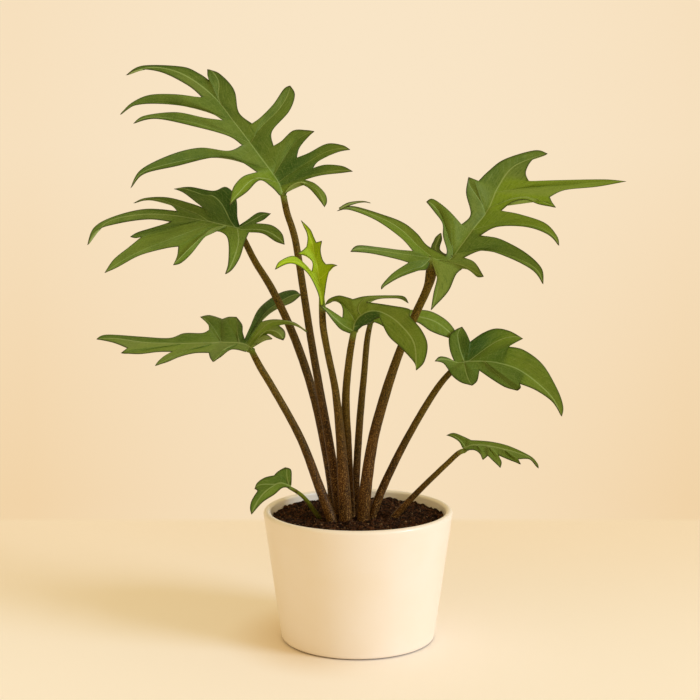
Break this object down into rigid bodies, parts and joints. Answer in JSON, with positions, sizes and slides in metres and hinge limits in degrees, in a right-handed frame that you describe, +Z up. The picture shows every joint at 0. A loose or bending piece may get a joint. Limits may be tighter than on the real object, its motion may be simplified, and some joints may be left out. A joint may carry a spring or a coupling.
{
  "type": "potted alocasia brancifolia",
  "caption": "Potted aroid house plant: deeply lobed green leaves on tall brown petioles, standing in dark soil in a plain tapered cream pot.",
  "frame": {"origin": "centre of the pot's flat underside", "axes": "+Z up along the pot's axis, +X to the right and +Y away from the viewer as in the picture"},
  "size_m": [0.4223, 0.1679, 0.4543],
  "materials": {
    "pot": "satin",
    "soil": "matte",
    "petiole": "satin",
    "green_petiole": "satin",
    "blade": "satin",
    "young_blade": "satin"
  },
  "bodies": {
    "root": {"pot": "pot", "soil": "soil", "petiole_upper_left": "petiole", "blade_upper_left": "blade", "petiole_middle_left": "petiole", "blade_middle_left": "blade", "petiole_lower_left": "petiole", "blade_lower_left": "blade", "petiole_small_left": "green_petiole", "blade_small_left": "blade", "petiole_young": "petiole", "blade_young": "young_blade", "petiole_front_centre": "petiole", "blade_front_centre": "blade", "petiole_back_centre": "petiole", "blade_back_centre": "blade", "petiole_upper_right": "petiole", "blade_upper_right": "blade", "petiole_middle_right": "petiole", "blade_middle_right": "blade", "petiole_small_right": "petiole", "blade_small_right": "blade"}
  },
  "joints": []
}
